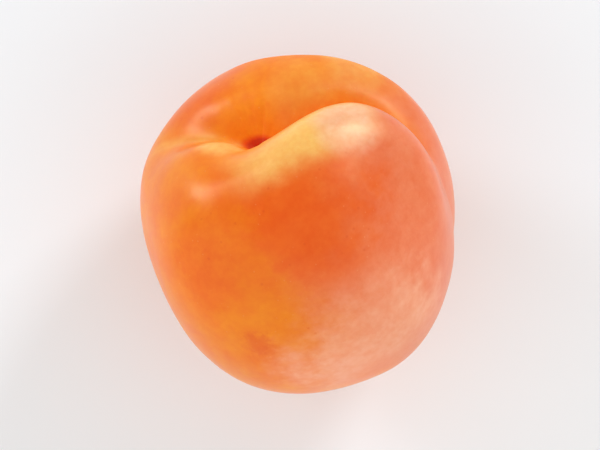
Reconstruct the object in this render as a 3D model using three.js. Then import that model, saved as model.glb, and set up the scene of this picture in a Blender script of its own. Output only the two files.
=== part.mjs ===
// Apricot: one whole ripe fruit, lying on its cheek on a small flat spot.
//
// Units are millimetres and +Z is up. The origin is the middle of the flat spot that the fruit
// rests on. The fruit is one solid. Its skin is a polar surface round the fruit's core:
// the angle "polar" is measured from the stem axis, and "turn" goes round that axis, from 0 at
// the suture, the long crease between the two cheeks.

import * as THREE from 'three';
import { mergeVertices } from 'three/addons/utils/BufferGeometryUtils.js';

// ---- Driving dimensions ----

// Half sizes of the plain body, from the core, and how full its curve is (2 is an ellipsoid).
const SUTURE_HALF = 22.25;
const CHEEK_HALF = 23.3;
const STEM_HALF = 23.79;
const FULLNESS = 2.18;

// The body leans: its stem end swells towards the suture and towards the cheek it lies on.
const LEAN_TO_SUTURE = 0.26;
const LEAN_TO_CHEEK = 0.45;

// Gentle unevenness round the girth: height, waves round the fruit and where they start.
const GIRTH_WAVES = [
  { height: 0.36, count: 4, start: 0.68 },
  { height: 0.39, count: 5, start: 0.75 },
];

// Stem cavity: a bowl's depth, angular half-width and slope, and how far it reaches towards the
// suture and away from it, as shares of that width. A narrower funnel drops from its middle.
const CAVITY_DEPTH = 5.0;
const CAVITY_ANGLE = 0.38;
const CAVITY_SLOPE = 1.6;
const REACH_TO_SUTURE = 1.3;
const REACH_TO_BACK = 0.7;
const FUNNEL_DEPTH = 3.8;
const FUNNEL_ANGLE = 0.16;

// The round hole that the stem left at the bottom of the cavity.
const SCAR_DEPTH = 0.8;
const SCAR_ANGLE = 0.055;

// Suture: a narrow crease in the middle of a wide valley. Both run from the cavity to the tip
// and are shallower past the girth. The share of each depth left there is its "keep".
const CREASE_DEPTH = 2.0;
const CREASE_WIDTH = 1.0;
const CREASE_ROUND = 0.3;
const CREASE_KEEP = 0.06;
const VALLEY_DEPTH = 2.58;
const VALLEY_WIDTH = 3.99;
const VALLEY_KEEP = 0.18;
const SUTURE_START = [0.04, 0.3];
const SUTURE_FADE = [0.75, 1.5];
const SUTURE_END = [2.8, 3.1];

// The suture isn't quite a meridian: it bows one way near the stem and swings back at the girth.
const SUTURE_BOW = 0.151;
const BOW_START = [0.15, 0.75];
const BOW_END = [0.7, 1.7];
const SUTURE_SWING = -0.2;
const SWING_START = [0.5, 1.7];
const SWING_END = [1.7, 3.0];

// The cheeks swell into shoulders on both sides of the suture: how high, how far from it and how
// wide. The high one is on the cheek that faces up, the low one on the cheek it lies on.
const HIGH_SHOULDER = { rise: 2.4, offset: -7.55, width: 5.33 };
const LOW_SHOULDER = { rise: 1.14, offset: 7.37, width: 6.0 };
const SHOULDER_START = [0.1, 0.55];
const SHOULDER_END = [1.1, 2.0];

// A short fold that leaves the cavity at the back: a soft dip that widens as it leaves the stem,
// by its flare for each millimetre, with a slight crease in its middle.
const FOLD_DEPTH = 3.35;
const FOLD_WIDTH = 1.9;
const FOLD_FLARE = 0.25;
const FOLD_CREASE = 0.25;
const FOLD_TURN = THREE.MathUtils.degToRad(150.0);
const FOLD_START = [0.0, 0.2];
const FOLD_END = [0.35, 0.95];

// The back is a little flat, and the tip has a shallow dip.
const BACK_FLAT = 0.5;
const BACK_WIDTH = 0.7;
const TIP_DIP = 0.8;
const TIP_ANGLE = 0.22;

// How the fruit lies: the stem axis's lean from vertical, the compass angle that it leans to
// (from +X towards +Y), and the turn of the suture round the stem axis.
const STEM_LEAN = THREE.MathUtils.degToRad(51.0);
const STEM_COMPASS = THREE.MathUtils.degToRad(118.2);
const SUTURE_ROLL = THREE.MathUtils.degToRad(11.3);

// Where the core sits above the middle of the flat spot, and the height over which the skin
// rounds into the flat.
const CORE = new THREE.Vector3(-0.58, -0.14, 23.14);
const SPOT_ROUNDING = 0.5;

// Facets: steps round the stem axis and from stem to tip, and how closely they crowd towards the
// suture and the cavity (0 is even, 1 is the most). The crowding round the axis starts outside
// the cavity.
const TURN_STEPS = 88;
const POLAR_STEPS = 48;
const SUTURE_CROWDING = 0.7;
const CROWDING_START = [0, 0.5];
const CAVITY_CROWDING = 0.75;

// ---- Helpers ----

const bell = (x) => Math.exp(-x * x);

// 0 before the first bound, 1 after the second, and smooth in between.
const ramp = (x, [start, end]) => THREE.MathUtils.smoothstep(x, start, end);

// 0, then 1, then 0 again.
const stretch = (x, start, end) => ramp(x, start) * (1 - ramp(x, end));

const keepShare = (keep, fade) => 1 - (1 - keep) * fade;

// ---- The fruit's surface ----

// The plain body's radius in a direction, in the fruit's own axes: x to the suture, y to the
// cheek it lies on, z to the stem.
function bodyRadius(x, y, z) {
  const sum = Math.abs(x / SUTURE_HALF) ** FULLNESS
    + Math.abs(y / CHEEK_HALF) ** FULLNESS
    + Math.abs(z / STEM_HALF) ** FULLNESS;
  return sum ** (-1 / FULLNESS);
}

// How deep the stem cavity and the stem's scar are.
function cavityDepth(polar, turn) {
  const frontness = Math.cos(turn / 2) ** 2;
  const reach = REACH_TO_BACK + (REACH_TO_SUTURE - REACH_TO_BACK) * frontness;
  const inner = polar * Math.hypot(Math.cos(turn) / reach, Math.sin(turn));
  const bowl = CAVITY_DEPTH * Math.exp(-((inner / CAVITY_ANGLE) ** CAVITY_SLOPE));
  const funnel = FUNNEL_DEPTH * bell(inner / FUNNEL_ANGLE);
  const scar = SCAR_DEPTH * Math.exp(-((polar / SCAR_ANGLE) ** 4));
  return bowl + funnel + scar;
}

// A sharp crease's share of its depth, at a distance across from its middle.
function creaseShare(across) {
  const rounded = Math.hypot(across, CREASE_ROUND) - CREASE_ROUND;
  return Math.exp(-rounded / CREASE_WIDTH);
}

// How deep the suture is, at a distance across from its middle.
function sutureDepth(polar, across) {
  const present = stretch(polar, SUTURE_START, SUTURE_END);
  const fade = ramp(polar, SUTURE_FADE);
  const crease = CREASE_DEPTH * creaseShare(across) * keepShare(CREASE_KEEP, fade);
  const valley = VALLEY_DEPTH * bell(across / VALLEY_WIDTH) * keepShare(VALLEY_KEEP, fade);
  return (crease + valley) * present;
}

// How high the cheeks' shoulders rise, at a signed distance from the suture's plane.
function shoulderRise(polar, side) {
  const present = stretch(polar, SHOULDER_START, SHOULDER_END);
  const rise = (shoulder) => shoulder.rise * bell((side - shoulder.offset) / shoulder.width);
  return (rise(HIGH_SHOULDER) + rise(LOW_SHOULDER)) * present;
}

// How deep the fold behind the cavity is.
function foldDepth(polar, turn, girth) {
  const present = stretch(polar, FOLD_START, FOLD_END);
  const half = (turn - FOLD_TURN) / 2;
  const across = 2 * girth * Math.sin(half);
  const width = FOLD_WIDTH + FOLD_FLARE * girth;
  const depth = FOLD_CREASE * creaseShare(across) + FOLD_DEPTH * bell(across / width);
  return depth * Math.cos(half) ** 4 * present;
}

// A point of the skin, in the fruit's own axes.
function skinPoint(polar, turn) {
  const sinPolar = Math.sin(polar);
  const cosPolar = Math.cos(polar);
  const frontness = Math.cos(turn / 2) ** 2;
  const bow = SUTURE_BOW * stretch(polar, BOW_START, BOW_END);
  const swing = SUTURE_SWING * stretch(polar, SWING_START, SWING_END);
  const angle = turn + (bow + swing) * frontness;
  const x = sinPolar * Math.cos(angle);
  const y = sinPolar * Math.sin(angle);
  const z = cosPolar;

  const body = bodyRadius(x, y, z);
  const girth = body * sinPolar;
  let radius = body - cavityDepth(polar, angle);
  radius -= sutureDepth(polar, 2 * girth * Math.sin(turn / 2)) * frontness;
  radius += shoulderRise(polar, girth * Math.sin(turn)) * frontness;
  radius -= foldDepth(polar, turn, girth);
  radius -= BACK_FLAT * bell(2 * Math.cos(turn / 2) / BACK_WIDTH) * sinPolar ** 2;
  radius -= TIP_DIP * bell((Math.PI - polar) / TIP_ANGLE);
  radius += LEAN_TO_SUTURE * x * z + LEAN_TO_CHEEK * y * z;
  for (const wave of GIRTH_WAVES) {
    radius += wave.height * sinPolar ** 2 * Math.cos(wave.count * angle - wave.start);
  }
  return new THREE.Vector3(x, y, z).multiplyScalar(radius);
}

// ---- How it lies ----

// The turn from the fruit's own axes to the row's.
function lyingBasis() {
  const level = Math.sin(STEM_LEAN);
  const stem = new THREE.Vector3(
    level * Math.cos(STEM_COMPASS),
    level * Math.sin(STEM_COMPASS),
    Math.cos(STEM_LEAN),
  );
  const right = new THREE.Vector3(1, 0, 0).addScaledVector(stem, -stem.x).normalize();
  const suture = right.applyAxisAngle(stem, SUTURE_ROLL);
  const cheek = new THREE.Vector3().crossVectors(stem, suture);
  return new THREE.Matrix4().makeBasis(suture, cheek, stem);
}

// The height of a skin point once the fruit lies on the ground: its own height, rounded off
// into a flat at 0.
function settledHeight(height) {
  if (height >= SPOT_ROUNDING) {
    return height;
  }
  if (height <= -SPOT_ROUNDING) {
    return 0;
  }
  return (height + SPOT_ROUNDING) ** 2 / (4 * SPOT_ROUNDING);
}

// ---- The solid ----

// A sphere's grid, with its rows crowded towards the cavity and its columns towards the suture,
// and every vertex moved out to the skin.
function fruitGeometry() {
  const geometry = new THREE.SphereGeometry(1, TURN_STEPS, POLAR_STEPS);
  const position = geometry.getAttribute('position');
  const basis = lyingBasis();
  let index = 0;
  for (let row = 0; row <= POLAR_STEPS; row += 1) {
    const evenPolar = Math.PI * row / POLAR_STEPS;
    const polar = evenPolar - CAVITY_CROWDING * Math.sin(evenPolar);
    const crowding = SUTURE_CROWDING * ramp(polar, CROWDING_START);
    for (let column = 0; column <= TURN_STEPS; column += 1) {
      const evenTurn = Math.PI * (2 * column / TURN_STEPS - 1);
      const turn = evenTurn - crowding * Math.sin(evenTurn);
      const point = skinPoint(polar, turn).applyMatrix4(basis).add(CORE);
      position.setXYZ(index, point.x, point.y, settledHeight(point.z));
      index += 1;
    }
  }
  geometry.deleteAttribute('normal');
  geometry.deleteAttribute('uv');
  return mergeVertices(geometry);
}

const skin = new THREE.MeshStandardMaterial({ color: 0xe87a34, roughness: 0.5, metalness: 0 });
const fruit = new THREE.Mesh(fruitGeometry(), skin);
fruit.name = 'apricot_fruit';

const apricot = new THREE.Group();
apricot.name = 'apricot';
apricot.add(fruit);

export default apricot;
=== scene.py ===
"""The looks of one whole ripe apricot, lying on its cheek.

Metres and +Z up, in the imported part's frame. The skin is the part's own surface on a finer
grid: a polar surface round the fruit's core, where the angle "polar" is measured from the stem
axis and "turn" goes round that axis from the suture, the long crease between the two cheeks.
"""

import bpy
import numpy as np
from mathutils import Matrix, Vector, noise


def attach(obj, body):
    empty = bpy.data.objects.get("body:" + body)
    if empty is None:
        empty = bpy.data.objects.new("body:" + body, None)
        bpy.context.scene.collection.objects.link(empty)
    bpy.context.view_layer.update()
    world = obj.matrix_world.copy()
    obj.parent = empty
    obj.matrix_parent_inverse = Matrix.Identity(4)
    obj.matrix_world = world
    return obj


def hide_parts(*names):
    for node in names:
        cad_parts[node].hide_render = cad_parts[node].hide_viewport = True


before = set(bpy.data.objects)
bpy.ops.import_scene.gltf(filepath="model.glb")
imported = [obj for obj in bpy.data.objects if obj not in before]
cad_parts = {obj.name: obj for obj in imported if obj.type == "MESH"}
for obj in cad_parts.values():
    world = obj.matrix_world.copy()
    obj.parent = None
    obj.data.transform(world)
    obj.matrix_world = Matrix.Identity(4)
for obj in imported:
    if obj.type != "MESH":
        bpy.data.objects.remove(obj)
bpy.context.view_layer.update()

NODE = "apricot_fruit"
MM = 0.001

# ---- The fruit's form, as in the part's source ----

SUTURE_HALF = 22.25 * MM
CHEEK_HALF = 23.3 * MM
STEM_HALF = 23.79 * MM
FULLNESS = 2.18

LEAN_TO_SUTURE = 0.26 * MM
LEAN_TO_CHEEK = 0.45 * MM

# Height, waves round the fruit, and where they start.
GIRTH_WAVES = ((0.36 * MM, 4, 0.68), (0.39 * MM, 5, 0.75))

CAVITY_DEPTH = 5.0 * MM
CAVITY_ANGLE = 0.38
CAVITY_SLOPE = 1.6
REACH_TO_SUTURE = 1.3
REACH_TO_BACK = 0.7
FUNNEL_DEPTH = 3.8 * MM
FUNNEL_ANGLE = 0.16
SCAR_DEPTH = 0.8 * MM
SCAR_ANGLE = 0.055
SCAR_STEEPNESS = 4

CREASE_DEPTH = 2.0 * MM
CREASE_WIDTH = 1.0 * MM
CREASE_ROUND = 0.3 * MM
CREASE_KEEP = 0.06
VALLEY_DEPTH = 2.58 * MM
VALLEY_WIDTH = 3.99 * MM
VALLEY_KEEP = 0.18
SUTURE_START = (0.04, 0.3)
SUTURE_FADE = (0.75, 1.5)
SUTURE_END = (2.8, 3.1)

SUTURE_BOW = 0.151
BOW_START = (0.15, 0.75)
BOW_END = (0.7, 1.7)
SUTURE_SWING = -0.2
SWING_START = (0.5, 1.7)
SWING_END = (1.7, 3.0)

# Each shoulder's rise, its distance from the suture's plane, and its width.
SHOULDERS = ((2.4 * MM, -7.55 * MM, 5.33 * MM), (1.14 * MM, 7.37 * MM, 6.0 * MM))
SHOULDER_START = (0.1, 0.55)
SHOULDER_END = (1.1, 2.0)

FOLD_DEPTH = 3.35 * MM
FOLD_WIDTH = 1.9 * MM
FOLD_FLARE = 0.25
FOLD_CREASE = 0.25 * MM
FOLD_TURN = np.radians(150.0)
FOLD_NARROWING = 4
FOLD_START = (0.0, 0.2)
FOLD_END = (0.35, 0.95)

BACK_FLAT = 0.5 * MM
BACK_WIDTH = 0.7
TIP_DIP = 0.8 * MM
TIP_ANGLE = 0.22

STEM_LEAN = np.radians(51.0)
STEM_COMPASS = np.radians(118.2)
SUTURE_ROLL = np.radians(11.3)
CORE = Vector((-0.58, -0.14, 23.14)) * MM
SPOT_ROUNDING = 0.5 * MM

# Fine unevenness of the skin: wavelengths and heights.
UNEVEN = ((9.0 * MM, 0.08 * MM), (3.2 * MM, 0.025 * MM), (1.2 * MM, 0.008 * MM))

# Wrinkles that run into the cavity: their number round the stem, where they start, and height.
WRINKLES = ((11, 0.0, 0.045 * MM), (17, 1.3, 0.025 * MM), (31, 2.1, 0.01 * MM))
WRINKLE_MIDDLE = 0.17
WRINKLE_REACH = 0.13

# The fine grid. Crowding draws its lines together at the suture and the cavity.
TURN_STEPS = 384
POLAR_STEPS = 240
SUTURE_CROWDING = 0.6
CROWDING_START = (0.0, 0.5)
CAVITY_CROWDING = 0.6
POLE_NEARNESS = 1e-6


def bell(x):
    """1 at 0, falling smoothly to 0 on both sides."""
    return np.exp(-x * x)


def ramp(x, bounds):
    """0 before the first bound, 1 after the second, and smooth in between."""
    t = np.clip((x - bounds[0]) / (bounds[1] - bounds[0]), 0, 1)
    return t * t * (3 - 2 * t)


def stretch(x, start, end):
    """0 before the start's bounds, 1 between, and 0 after the end's bounds."""
    return ramp(x, start) * (1 - ramp(x, end))


def keep_share(keep, fade):
    """From 1 down to the share that is kept, as the fade goes from 0 to 1."""
    return 1 - (1 - keep) * fade


def body_radius(x, y, z):
    """The plain body's radius in a direction, in the fruit's own axes."""
    total = (abs(x / SUTURE_HALF) ** FULLNESS
             + abs(y / CHEEK_HALF) ** FULLNESS
             + abs(z / STEM_HALF) ** FULLNESS)
    return total ** (-1 / FULLNESS)


def cavity_depth(polar, turn):
    frontness = np.cos(turn / 2) ** 2
    reach = REACH_TO_BACK + (REACH_TO_SUTURE - REACH_TO_BACK) * frontness
    inner = polar * np.hypot(np.cos(turn) / reach, np.sin(turn))
    bowl = CAVITY_DEPTH * np.exp(-(inner / CAVITY_ANGLE) ** CAVITY_SLOPE)
    funnel = FUNNEL_DEPTH * bell(inner / FUNNEL_ANGLE)
    scar = SCAR_DEPTH * np.exp(-(polar / SCAR_ANGLE) ** SCAR_STEEPNESS)
    return bowl + funnel + scar


def crease(across):
    """The sharp crease's share of its depth, at a distance across from its middle."""
    rounded = np.hypot(across, CREASE_ROUND) - CREASE_ROUND
    return np.exp(-rounded / CREASE_WIDTH)


def suture_depth(polar, across):
    present = stretch(polar, SUTURE_START, SUTURE_END)
    fade = ramp(polar, SUTURE_FADE)
    sharp = CREASE_DEPTH * crease(across) * keep_share(CREASE_KEEP, fade)
    valley = VALLEY_DEPTH * bell(across / VALLEY_WIDTH) * keep_share(VALLEY_KEEP, fade)
    return (sharp + valley) * present


def shoulder_rise(polar, side):
    rise = sum(high * bell((side - offset) / width) for high, offset, width in SHOULDERS)
    return rise * stretch(polar, SHOULDER_START, SHOULDER_END)


def fold_depth(polar, turn, girth):
    half = (turn - FOLD_TURN) / 2
    across = 2 * girth * np.sin(half)
    present = stretch(polar, FOLD_START, FOLD_END)
    width = FOLD_WIDTH + FOLD_FLARE * girth
    depth = FOLD_CREASE * crease(across) + FOLD_DEPTH * bell(across / width)
    return depth * np.cos(half) ** FOLD_NARROWING * present


def wrinkle_height(polar, angle):
    waves = sum(height * np.cos(count * angle + start) for count, start, height in WRINKLES)
    return waves * bell((polar - WRINKLE_MIDDLE) / WRINKLE_REACH)


def unevenness(points):
    """Small random height of the skin at each point."""
    heights = np.zeros(len(points))
    for length, height in UNEVEN:
        scaled = points / length
        heights += height * np.array([noise.noise(Vector(point)) for point in scaled])
    return heights


def skin_points(polar, turn):
    """The skin's points in the fruit's own axes, and their distances from suture and fold."""
    sin_polar = np.sin(polar)
    cos_polar = np.cos(polar)
    frontness = np.cos(turn / 2) ** 2
    bow = SUTURE_BOW * stretch(polar, BOW_START, BOW_END)
    swing = SUTURE_SWING * stretch(polar, SWING_START, SWING_END)
    angle = turn + (bow + swing) * frontness
    x = sin_polar * np.cos(angle)
    y = sin_polar * np.sin(angle)
    z = cos_polar

    body = body_radius(x, y, z)
    girth = body * sin_polar
    across = 2 * girth * np.sin(turn / 2)
    radius = body - cavity_depth(polar, angle)
    radius -= suture_depth(polar, across) * frontness
    radius += shoulder_rise(polar, girth * np.sin(turn)) * frontness
    radius -= fold_depth(polar, turn, girth)
    radius -= BACK_FLAT * bell(2 * np.cos(turn / 2) / BACK_WIDTH) * sin_polar ** 2
    radius -= TIP_DIP * bell((np.pi - polar) / TIP_ANGLE)
    radius += LEAN_TO_SUTURE * x * z + LEAN_TO_CHEEK * y * z
    for height, count, start in GIRTH_WAVES:
        radius += height * sin_polar ** 2 * np.cos(count * angle - start)
    radius += wrinkle_height(polar, angle)
    off_fold = abs(2 * girth * np.sin((turn - FOLD_TURN) / 2))
    return np.stack([x, y, z], axis=-1) * radius[..., None], across, off_fold


def lying_basis():
    """The turn from the fruit's own axes to the row's."""
    level = np.sin(STEM_LEAN)
    stem = Vector((level * np.cos(STEM_COMPASS), level * np.sin(STEM_COMPASS), np.cos(STEM_LEAN)))
    right = (Vector((1, 0, 0)) - stem * stem.x).normalized()
    suture = Matrix.Rotation(SUTURE_ROLL, 3, stem) @ right
    return Matrix((suture, stem.cross(suture), stem)).transposed()


def settled_height(height):
    """A skin point's height once it rests: rounded off into a flat at 0."""
    rounded = (height + SPOT_ROUNDING) ** 2 / (4 * SPOT_ROUNDING)
    resting = np.where(height <= -SPOT_ROUNDING, 0, rounded)
    return np.where(height >= SPOT_ROUNDING, height, resting)


def grid_angles():
    """Polar and turn angles of the grid's rows and columns, crowded to cavity and suture."""
    even_polar = np.pi * np.arange(1, POLAR_STEPS) / POLAR_STEPS
    polar = even_polar - CAVITY_CROWDING * np.sin(even_polar)
    even_turn = np.pi * (2 * np.arange(TURN_STEPS) / TURN_STEPS - 1)
    crowding = SUTURE_CROWDING * ramp(polar, CROWDING_START)
    turn = even_turn[None, :] - crowding[:, None] * np.sin(even_turn)[None, :]
    return polar[:, None] + 0 * turn, turn


def grid_faces(rows, columns):
    """Quads between the rows and triangles round the two poles, which are the last two points."""
    start = (np.arange(rows - 1) * columns)[:, None]
    here = np.arange(columns)[None, :]
    there = (here + 1) % columns
    below = start + columns
    quads = np.stack([start + here, below + here, below + there, start + there], -1)
    faces = quads.reshape(-1, 4).tolist()
    stem_pole = rows * columns
    tip_pole = stem_pole + 1
    last = (rows - 1) * columns
    for column in range(columns):
        after = (column + 1) % columns
        faces.append((stem_pole, column, after))
        faces.append((tip_pole, last + after, last + column))
    return faces


def fruit_mesh():
    """The skin's mesh. It keeps what the material reads: each point's place in the fruit's own
    axes, its distances from the suture and the fold, and its angle from the stem."""
    polar, turn = grid_angles()
    own, across, off_fold = skin_points(polar, turn)
    poles, _, _ = skin_points(np.array([POLE_NEARNESS, np.pi - POLE_NEARNESS]), np.zeros(2))
    own = np.concatenate([own.reshape(-1, 3), poles])
    across = np.concatenate([across.reshape(-1), np.zeros(2)])
    off_fold = np.concatenate([off_fold.reshape(-1), np.zeros(2)])
    stem_angle = np.concatenate([polar.reshape(-1), [0, np.pi]])
    distance = np.linalg.norm(own, axis=1, keepdims=True)
    own = own * (1 + unevenness(own)[:, None] / distance)

    basis = np.array(lying_basis())
    placed = own @ basis.T + np.array(CORE)
    placed[:, 2] = settled_height(placed[:, 2])

    mesh = bpy.data.meshes.new("apricot")
    mesh.from_pydata(placed.tolist(), [], grid_faces(POLAR_STEPS - 1, TURN_STEPS))
    mesh.shade_smooth()
    kept = mesh.attributes.new("own_point", "FLOAT_VECTOR", "POINT")
    kept.data.foreach_set("vector", own.astype(np.float32).ravel())
    for name, values in (("across", across), ("off_fold", off_fold), ("stem_angle", stem_angle)):
        kept = mesh.attributes.new(name, "FLOAT", "POINT")
        kept.data.foreach_set("value", values.astype(np.float32))
    return mesh


fruit = bpy.data.objects.new("apricot", fruit_mesh())
bpy.context.scene.collection.objects.link(fruit)
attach(fruit, "root")
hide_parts(NODE)

# ---- The skin's material ----

# Colours, linear.
GOLD = (0.88, 0.225, 0.003, 1)
DEEP_GOLD = (0.87, 0.180, 0.003, 1)
BLUSH = (0.83, 0.105, 0.006, 1)
SALMON = (0.84, 0.195, 0.078, 1)
# The bloom's pale pink below is partly dusty bloom and partly a painted sheen.
BLOOM_AND_SHEEN = (0.90, 0.370, 0.215, 1)
# The pale gold below is the high shoulder's paler ground and partly its painted highlight; it
# also paints light on the fold, the cavity's back and the low lobe.
CREST = (0.93, 0.500, 0.125, 1)
# GLEAM below is the colour of a painted highlight.
GLEAM = (0.93, 0.475, 0.300, 1)
PIT = (0.95, 0.235, 0.002, 1)
SCAR = (0.64, 0.034, 0.003, 1)
SCAR_RIM = (0.82, 0.085, 0.002, 1)
DOT = (0.93, 0.45, 0.18, 1)
FRECKLE = (0.68, 0.050, 0.008, 1)
SMUDGE = (0.78, 0.100, 0.008, 1)

# Sizes of the soft random variation, the streaks' size on a unit sphere, and how much of each
# goes into the ragged edges of the areas.
BROAD_SIZE = 9 * MM
MIDDLING_SIZE = 3 * MM
SMALL_SIZE = 0.9 * MM
STREAK_SIZE = 0.12
STREAKS_PER_METRE = 80.0
RAGGED_BROAD = 0.26
RAGGED_MIDDLING = 0.14
RAGGED_STREAKS = 0.12
NOISE_MIDDLE = 0.5
NOISE_SPREAD = (0.3, 0.7)
GOLD_SPREAD = (0.35, 0.65)
GRAINY = 0.6

# Round areas of the skin: the direction of each one's middle in the fruit's own axes, the angles'
# cosines between which it fades in, how ragged it is, and its strength. Where the first cosine is
# the larger, the area fades out towards its middle. The last four are small pale patches of
# painted light.
AREAS = {
    # A pinker right side: partly the skin's own colour and partly a painted sheen.
    "salmon": ((0.80, -0.60, 0.10), (0.36, 0.88), 1.0, 1.0),
    "blush": ((0.17, -0.71, 0.68), (0.82, 0.995), 1.0, 1.0),
    "left_blush": ((-0.27, -0.68, 0.67), (0.84, 0.99), 1.0, 0.55),
    # A red rim on the far side: partly blush, and partly painted shade and painted red
    # reflection.
    "far_blush_and_shade": ((-0.20, 0.56, 0.80), (0.915, 0.98), 0.4, 0.6),
    # The three bloom areas are partly dusty bloom and partly a painted sheen.
    "bloom_and_sheen_start": ((0.25, -0.42, -0.87), (0.10, 0.74), 0.8, 1.0),
    "bloom_and_sheen_end": ((0.25, -0.42, -0.87), (1.0, 0.76), 0.8, 1.0),
    "bloom_and_sheen_reach": ((0.17, -0.95, -0.25), (0.76, 0.965), 0.8, 1.0),
    # Painted light on the back of the cavity's rim, where it faces the light.
    "lit_cavity_back": ((-0.18, -0.04, 0.98), (0.980, 0.998), 0.03, 0.75),
    # A painted highlight on the high shoulder's top.
    "shoulder_highlight": ((0.55, -0.30, 0.78), (0.972, 0.999), 0.054, 0.75),
    # A painted highlight on the low lobe's rim at the end of the suture.
    "low_rim_highlight": ((0.68, 0.36, 0.64), (0.968, 0.998), 0.06, 0.40),
    # A painted sheen on the low lobe's brow over the groove.
    "low_brow_sheen": ((0.42, 0.17, 0.89), (0.955, 0.997), 0.084, 0.20),
}
BLUSH_STRENGTH = 0.9
BLOOM_AND_SHEEN_STREAKS = (0.82, 1.0)

# The pale band across the high shoulder, a paler ground colour that is partly a painted
# highlight:
# its plane in the fruit's own axes, its half-width, how far its edge wanders, and where it fades
# out towards the suture and at its two ends.
CREST_ACROSS = (-0.040, 0.636, 0.769)
CREST_MIDDLE = 9.9 * MM
CREST_WIDTH = 5.3 * MM
CREST_WANDER = 6 * MM
CREST_OFF_SUTURE = (-1 * MM, -4 * MM)
CREST_BACK_END = (-7 * MM, 3 * MM)
CREST_FRONT_END = (19.5 * MM, 14.5 * MM)
CREST_SPREAD = (0.3, 0.6)
CREST_LEAST = 0.84

# A painted highlight, a pale line along the fold behind the cavity: distances from the fold and
# angles from the stem.
FOLD_LINE = (1.8 * MM, 0.3 * MM)
FOLD_LINE_END = (0.95, 0.6)
FOLD_LINE_STRENGTH = 0.4

# The deep orange of the groove and the cavity: signed distances across the suture, with the high
# shoulder's side below 0, and angles from the stem.
UPPER_SIDE = (1.5, 0.9)
GROOVE_HIGH_SIDE = (-4 * MM, -1 * MM)
GROOVE_LOW_SIDE = (2.8 * MM, 0.5 * MM)
CAVITY_EDGE = (0.42, 0.2)
CAVITY_BACK_START = (0.12, 0.17)
INSIDE_STRENGTH = 0.85

# The stem's scar is an oval: its middle, the way it is longer, its half-length and half-breadth.
SCAR_MIDDLE = (0.4 * MM, 0.7 * MM, 0.0)
SCAR_ALONG = (0.92, -0.39)
SCAR_LENGTH = 1.9 * MM
SCAR_BREADTH = 0.75 * MM
SCAR_EDGE = (1.2, 0.8)
SCAR_RIM_EDGE = (1.7, 1.0)
SCAR_ONLY_BEFORE = (0.3, 0.6)
FAR_FROM_SCAR = 9.0

# Dots: the points' spacing, the dots' radius in spacings, the share of points that have one, and
# strength.
FRECKLES = (1.5 * MM, 0.2, 0.35, 0.3)
LENTICELS = (1.1 * MM, 0.15, 0.6, 0.18)
DOT_CORE = 0.3
FRECKLE_IN_BLUSH = (0.05, 0.6)
FRECKLE_OFF_CREST = (0.4, 0.1)

# Blemishes: each one's middle in the fruit's own axes and radius, in millimetres, and strength.
BLEMISHES = (
    ((-10.4, -20.6, -0.3), 3.2, 0.5),
    ((-2.7, -22.8, 0.7), 0.4, 0.4),
    ((-2.2, -23.0, -0.6), 0.4, 0.4),
    ((-1.8, -22.8, -2.6), 0.4, 0.4),
    ((9.0, 17.5, 12.0), 0.5, 0.6),
    ((-16.0, 9.0, -9.5), 0.7, 0.5),
    ((13.0, 6.0, -17.0), 0.4, 0.6),
)
BLEMISH_CORE = 0.3

# Factors that the colour is multiplied by, from dark to light.
MOTTLE = ((0.97, 0.88, 0.83, 1), (1.0, 1.08, 1.15, 1))
SPECKLE = ((0.98, 0.93, 0.90, 1), (1.0, 1.05, 1.10, 1))
MOTTLE_ON_PALE = 0.4

# Gloss. The low lobe, the groove and the cavity shine less. The low lobe is told by its signed
# distance across the suture, and is a little shinier at its back.
ROUGHNESS = (0.29, 0.335)
DULL_ROUGHNESS = 0.62
LOW_LOBE = (0.0, 4 * MM)
LOW_LOBE_FRONT = (-2 * MM, 6 * MM)
LOW_LOBE_BACK_SHARE = 0.5
SKIN_SETTINGS = {
    "Specular IOR Level": 0.42,
    "Specular Tint": (1, 0.88, 0.5, 1),
    "Subsurface Weight": 0.2,
    "Subsurface Radius": (1.0, 0.35, 0.12),
    "Subsurface Scale": 2 * MM,
    "Sheen Weight": 0.02,
    "Sheen Roughness": 0.4,
    "Sheen Tint": (1, 0.8, 0.55, 1),
}
FUZZ_SIZE = 0.3 * MM
FUZZ_DETAIL = 2.0
FUZZ_SHARE = 0.4
BUMP_HEIGHT = 0.012 * MM


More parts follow.
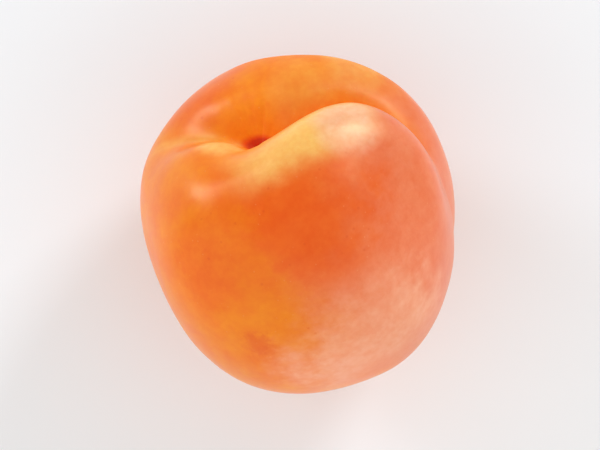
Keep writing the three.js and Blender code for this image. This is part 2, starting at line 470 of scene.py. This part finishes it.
class Sketch:
    """Adds nodes to a material. Each call but add and vector gives the new node's output."""

    def __init__(self, tree):
        self.tree = tree

    def add(self, kind, inputs, **settings):
        node = self.tree.nodes.new(kind)
        for name, value in settings.items():
            setattr(node, name, value)
        for key, value in inputs.items():
            if isinstance(value, bpy.types.NodeSocket):
                self.tree.links.new(value, node.inputs[key])
            else:
                node.inputs[key].default_value = value
        return node

    def attribute(self, name, output):
        return self.add("ShaderNodeAttribute", {}, attribute_name=name).outputs[output]

    def math(self, operation, first, second=0.0):
        return self.add("ShaderNodeMath", {0: first, 1: second}, operation=operation).outputs[0]

    def product(self, first, *others):
        for other in others:
            first = self.math("MULTIPLY", first, other)
        return first

    def sum(self, first, *others):
        for other in others:
            first = self.math("ADD", first, other)
        return first

    def largest(self, first, *others):
        for other in others:
            first = self.math("MAXIMUM", first, other)
        return first

    def vector(self, operation, first, second=(0, 0, 0)):
        return self.add("ShaderNodeVectorMath", {0: first, 1: second}, operation=operation)

    def along(self, place, direction):
        """How far a place lies in a direction."""
        return self.vector("DOT_PRODUCT", place, direction).outputs["Value"]

    def fade(self, value, bounds, low=0.0, high=1.0):
        """From low to high, smoothly, as the value goes from the first bound to the second."""
        inputs = {0: value, 1: bounds[0], 2: bounds[1], 3: low, 4: high}
        return self.add("ShaderNodeMapRange", inputs, interpolation_type="SMOOTHSTEP").outputs[0]

    def noise(self, place, size, detail=3.0, rough=0.5):
        """Soft random values of about 0.5, with features of a size in the place's own unit."""
        inputs = {"Vector": place, "Scale": 1 / size, "Detail": detail, "Roughness": rough}
        return self.add("ShaderNodeTexNoise", inputs).outputs[0]

    def cells(self, place, size):
        """The distance from scattered points, in spacings, and each point's random colour."""
        outputs = self.add("ShaderNodeTexVoronoi", {"Vector": place, "Scale": 1 / size}).outputs
        return outputs["Distance"], outputs["Color"]

    def blend(self, amount, under, over, how="MIX"):
        inputs = {0: amount, 6: under, 7: over}
        node = self.add("ShaderNodeMix", inputs, data_type="RGBA", blend_type=how)
        return node.outputs[2]


class Skin:
    """The values that the skin's colour and gloss are worked out from.

    own is a point in the fruit's own axes, side its signed distance across the suture (below 0 on
    the high shoulder), and forward how far it lies towards the suture.
    """

    def __init__(self, sketch):
        self.own = sketch.attribute("own_point", "Vector")
        self.side = sketch.attribute("across", "Fac")
        self.off_fold = sketch.attribute("off_fold", "Fac")
        self.stem_angle = sketch.attribute("stem_angle", "Fac")
        self.direction = sketch.vector("NORMALIZE", self.own).outputs[0]
        self.forward = sketch.along(self.own, (1, 0, 0))
        self.upper = sketch.fade(self.stem_angle, UPPER_SIDE)

        self.broad = sketch.noise(self.own, BROAD_SIZE)
        self.middling = sketch.noise(self.own, MIDDLING_SIZE)
        self.small = sketch.noise(self.own, SMALL_SIZE, rough=GRAINY)
        self.streaks = streak_noise(sketch, self.own)
        self.ragged = sketch.sum(
            centred(sketch, self.broad, RAGGED_BROAD),
            centred(sketch, self.middling, RAGGED_MIDDLING),
            centred(sketch, self.streaks, RAGGED_STREAKS),
        )


def centred(sketch, values, strength):
    """Noise values moved to lie about 0, and scaled."""
    return sketch.product(sketch.math("SUBTRACT", values, NOISE_MIDDLE), strength)


def streak_noise(sketch, own):
    """Noise drawn out into streaks that run from stem to tip."""
    level = sketch.vector("MULTIPLY", own, (1, 1, 0)).outputs[0]
    around = sketch.vector("NORMALIZE", level).outputs[0]
    lengthwise = sketch.vector("MULTIPLY", own, (0, 0, STREAKS_PER_METRE)).outputs[0]
    place = sketch.vector("ADD", around, lengthwise).outputs[0]
    return sketch.noise(place, STREAK_SIZE, rough=GRAINY)


def area(sketch, skin, name):
    """How far a point is inside one of the ragged round areas of the skin."""
    towards, bounds, raggedness, strength = AREAS[name]
    near = sketch.along(skin.direction, tuple(Vector(towards).normalized()))
    near = sketch.sum(near, sketch.product(skin.ragged, raggedness))
    return sketch.product(sketch.fade(near, bounds), strength)


def blush_and_far_shade_share(sketch, skin):
    """The red blush, a weaker one to its left, and a far-side rim that is partly blush, partly
    painted shade.
    """
    names = ("blush", "left_blush", "far_blush_and_shade")
    return sketch.largest(*(area(sketch, skin, name) for name in names))


def bloom_and_sheen_share(sketch, skin):
    """Partly dusty bloom and partly a painted sheen, thinner between the streaks."""
    names = ("bloom_and_sheen_start", "bloom_and_sheen_end", "bloom_and_sheen_reach")
    streaks = sketch.fade(skin.streaks, NOISE_SPREAD, *BLOOM_AND_SHEEN_STREAKS)
    return sketch.product(*(area(sketch, skin, name) for name in names), streaks)


def crest_share(sketch, skin):
    """The pale band across the high shoulder: a paler ground colour and partly a painted
    highlight.
    """
    height = sketch.along(skin.own, CREST_ACROSS)
    height = sketch.sum(height, sketch.product(skin.ragged, CREST_WANDER))
    off_crest = sketch.math("SUBTRACT", CREST_MIDDLE, height)
    return sketch.product(
        sketch.fade(off_crest, (CREST_WIDTH, 0.0)),
        sketch.fade(skin.side, CREST_OFF_SUTURE),
        sketch.fade(skin.forward, CREST_BACK_END),
        sketch.fade(skin.forward, CREST_FRONT_END),
        sketch.fade(skin.broad, CREST_SPREAD, CREST_LEAST, 1.0),
    )


def fold_highlight_share(sketch, skin):
    """A painted highlight: a pale line along the fold behind the cavity."""
    line = sketch.fade(skin.off_fold, FOLD_LINE)
    return sketch.product(line, sketch.fade(skin.stem_angle, FOLD_LINE_END), FOLD_LINE_STRENGTH)


def inside_share(sketch, skin):
    """The groove of the suture, and the cavity."""
    groove = sketch.product(
        sketch.fade(skin.side, GROOVE_HIGH_SIDE),
        sketch.fade(skin.side, GROOVE_LOW_SIDE),
        skin.upper,
    )
    return sketch.largest(groove, sketch.fade(skin.stem_angle, CAVITY_EDGE))


def lit_cavity_back_share(sketch, skin):
    """Painted light: the back of the cavity's rim made paler where it faces the light, outside
    the scar.
    """
    outside = sketch.fade(skin.stem_angle, CAVITY_BACK_START)
    return sketch.product(area(sketch, skin, "lit_cavity_back"), outside)


def dots(sketch, place, size, radius, share):
    """Round dots with soft edges, on a share of scattered points."""
    distance, colour = sketch.cells(place, size)
    disc = sketch.fade(distance, (radius, radius * DOT_CORE))
    chance = sketch.add("ShaderNodeSeparateColor", {0: colour}).outputs[0]
    return sketch.product(disc, sketch.math("LESS_THAN", chance, share))


def freckle_share(sketch, skin, blush, crest):
    """Freckles, in the blush only and not on the pale crest."""
    *layout, strength = FRECKLES
    in_blush = sketch.fade(blush, FRECKLE_IN_BLUSH)
    off_crest = sketch.fade(crest, FRECKLE_OFF_CREST)
    return sketch.product(dots(sketch, skin.own, *layout), in_blush, off_crest, strength)


def blemish_share(sketch, skin):
    """How strongly a point is in one of the small darker spots."""
    total = 0.0
    ragged = sketch.math("SUBTRACT", skin.small, NOISE_MIDDLE)
    for middle, radius, strength in BLEMISHES:
        radius *= MM
        away = sketch.vector("DISTANCE", skin.own, tuple(Vector(middle) * MM)).outputs["Value"]
        away = sketch.sum(away, sketch.product(ragged, radius))
        spot = sketch.fade(away, (radius, radius * BLEMISH_CORE), 0.0, strength)
        total = sketch.largest(spot, total)
    return total


def from_scar(sketch, skin):
    """How far a point is from the middle of the stem's oval scar: 1 is its edge."""
    away = sketch.vector("SUBTRACT", skin.own, SCAR_MIDDLE).outputs[0]
    along, aside = SCAR_ALONG
    lengthwise = sketch.math("DIVIDE", sketch.along(away, (along, aside, 0)), SCAR_LENGTH)
    crosswise = sketch.math("DIVIDE", sketch.along(away, (-aside, along, 0)), SCAR_BREADTH)
    squares = sketch.sum(
        sketch.product(lengthwise, lengthwise),
        sketch.product(crosswise, crosswise),
    )
    elsewhere = sketch.fade(skin.stem_angle, SCAR_ONLY_BEFORE, 0.0, FAR_FROM_SCAR)
    return sketch.sum(sketch.math("SQRT", squares), elsewhere)


def skin_colour(sketch, skin, inside, lenticels):
    """The colour, in layers from the golden ground up."""
    blush = blush_and_far_shade_share(sketch, skin)
    bloom_and_sheen = bloom_and_sheen_share(sketch, skin)
    crest = crest_share(sketch, skin)
    off_scar = from_scar(sketch, skin)
    layers = (
        (area(sketch, skin, "salmon"), SALMON),
        (sketch.product(blush, BLUSH_STRENGTH), BLUSH),
        (bloom_and_sheen, BLOOM_AND_SHEEN),
        (crest, CREST),
        (fold_highlight_share(sketch, skin), CREST),
        (sketch.product(inside, INSIDE_STRENGTH), PIT),
        (lit_cavity_back_share(sketch, skin), CREST),
        (area(sketch, skin, "shoulder_highlight"), GLEAM),
        (area(sketch, skin, "low_rim_highlight"), CREST),
        (area(sketch, skin, "low_brow_sheen"), CREST),
        (freckle_share(sketch, skin, blush, crest), FRECKLE),
        (sketch.product(lenticels, LENTICELS[-1]), DOT),
        (blemish_share(sketch, skin), SMUDGE),
        (sketch.fade(off_scar, SCAR_RIM_EDGE), SCAR_RIM),
        (sketch.fade(off_scar, SCAR_EDGE), SCAR),
    )
    colour = sketch.blend(sketch.fade(skin.broad, GOLD_SPREAD), GOLD, DEEP_GOLD)
    for share, layer in layers:
        colour = sketch.blend(share, colour, layer)

    mottle = sketch.blend(sketch.fade(skin.middling, NOISE_SPREAD), *MOTTLE)
    amount = sketch.fade(sketch.largest(bloom_and_sheen, crest), (0.0, 1.0), 1.0, MOTTLE_ON_PALE)
    colour = sketch.blend(amount, colour, mottle, "MULTIPLY")
    speckle = sketch.blend(sketch.fade(skin.small, NOISE_SPREAD), *SPECKLE)
    return sketch.blend(1.0, colour, speckle, "MULTIPLY")


def skin_roughness(sketch, skin, inside):
    """A satin skin, duller on the low lobe and inside the groove and the cavity."""
    low_lobe = sketch.product(
        sketch.fade(skin.side, LOW_LOBE),
        skin.upper,
        sketch.fade(skin.forward, LOW_LOBE_FRONT, LOW_LOBE_BACK_SHARE, 1.0),
    )
    dull = sketch.product(sketch.largest(low_lobe, inside), DULL_ROUGHNESS)
    return sketch.largest(sketch.fade(skin.middling, NOISE_SPREAD, *ROUGHNESS), dull)


def skin_bump(sketch, skin, lenticels):
    """Fuzz, and the lenticels' shallow pits."""
    fuzz = sketch.noise(skin.own, FUZZ_SIZE, FUZZ_DETAIL, GRAINY)
    height = sketch.math("SUBTRACT", sketch.product(fuzz, FUZZ_SHARE), lenticels)
    inputs = {"Height": height, "Distance": BUMP_HEIGHT, "Strength": 1.0}
    return sketch.add("ShaderNodeBump", inputs).outputs[0]


def plain_material(name, settings):
    """A material with plain numbers and colours on its shader."""
    material = bpy.data.materials.new(name)
    material.use_nodes = True
    shader = material.node_tree.nodes["Principled BSDF"]
    for socket, value in settings.items():
        shader.inputs[socket].default_value = value
    return material


def skin_material():
    material = plain_material("skin", SKIN_SETTINGS)
    tree = material.node_tree
    shader = tree.nodes["Principled BSDF"]
    sketch = Sketch(tree)
    skin = Skin(sketch)
    inside = inside_share(sketch, skin)
    lenticels = dots(sketch, skin.own, *LENTICELS[:-1])
    tree.links.new(skin_colour(sketch, skin, inside, lenticels), shader.inputs["Base Color"])
    tree.links.new(skin_roughness(sketch, skin, inside), shader.inputs["Roughness"])
    tree.links.new(skin_bump(sketch, skin, lenticels), shader.inputs["Normal"])
    return material


fruit.data.materials.append(skin_material())

# ---- Floor, light and camera ----

FLOOR_HALF = 2.0
FLOOR_SETTINGS = {"Base Color": (0.88, 0.90, 0.92, 1), "Roughness": 0.8}
STUDIO_COLOUR = (1, 0.98, 0.94, 1)
STUDIO_STRENGTH = 0.49
MIDDLE_HEIGHT = 0.024

# Flat soft lights that face the fruit: name, direction, distance, width, height, power, colour.
# The windows give the highlights, and the fill and the back an even light.
LAMPS = (
    ("window", (0.52, 0.70, 0.49), 0.6, 0.15, 0.11, 1.35, (0.88, 0.94, 1)),
    ("left_window", (-0.84, 0.47, 0.26), 0.6, 0.12, 0.25, 1.15, (0.80, 0.90, 1)),
    ("high_left_window", (-0.70, 0.60, 0.39), 0.6, 0.11, 0.09, 0.26, (0.80, 0.90, 1)),
    ("low_window", (0.62, 0.76, 0.18), 0.6, 0.12, 0.06, 0.25, (0.90, 0.95, 1)),
    ("fill", (0.60, -0.60, 0.50), 0.9, 1.4, 1.0, 3.45, (1, 0.98, 0.96)),
    ("back", (-0.60, -0.60, 0.50), 0.9, 1.4, 1.0, 3.6, (1, 0.98, 0.96)),
)

# The camera looks straight down. The frame's width is at the height of the fruit's middle.
LENS = 300
SENSOR_WIDTH = 36
FRAME_WIDTH = 0.0865
CAMERA_OFF_CORE = Vector((0.2, -0.1, 0)) * MM


def floor_corners():
    half = FLOOR_HALF
    return [(-half, -half, 0), (half, -half, 0), (half, half, 0), (-half, half, 0)]


floor_mesh = bpy.data.meshes.new("floor")
floor_mesh.from_pydata(floor_corners(), [], [(0, 1, 2, 3)])
floor = bpy.data.objects.new("floor", floor_mesh)
bpy.context.scene.collection.objects.link(floor)
floor_mesh.materials.append(plain_material("paper", FLOOR_SETTINGS))

scene = bpy.context.scene
scene.view_settings.view_transform = "Standard"


def studio_world():
    world = bpy.data.worlds.new("studio")
    world.use_nodes = True
    background = world.node_tree.nodes["Background"]
    background.inputs["Color"].default_value = STUDIO_COLOUR
    background.inputs["Strength"].default_value = STUDIO_STRENGTH
    return world


def softbox(name, direction, distance, width, height, power, colour):
    """A flat soft light that faces the fruit from a direction."""
    light = bpy.data.lights.new(name, "AREA")
    light.shape = "RECTANGLE"
    light.size = width
    light.size_y = height
    light.energy = power
    light.color = colour
    lamp = bpy.data.objects.new(name, light)
    towards = Vector(direction).normalized()
    lamp.location = Vector((0, 0, MIDDLE_HEIGHT)) + towards * distance
    lamp.rotation_euler = towards.to_track_quat("Z", "Y").to_euler()
    scene.collection.objects.link(lamp)


def downward_camera():
    lens = bpy.data.cameras.new("camera")
    lens.lens = LENS
    lens.sensor_width = SENSOR_WIDTH
    camera = bpy.data.objects.new("camera", lens)
    camera.location = CORE + CAMERA_OFF_CORE
    camera.location.z = MIDDLE_HEIGHT + FRAME_WIDTH * LENS / SENSOR_WIDTH
    scene.collection.objects.link(camera)
    return camera


scene.world = studio_world()
for lamp_row in LAMPS:
    softbox(*lamp_row)
scene.camera = downward_camera()
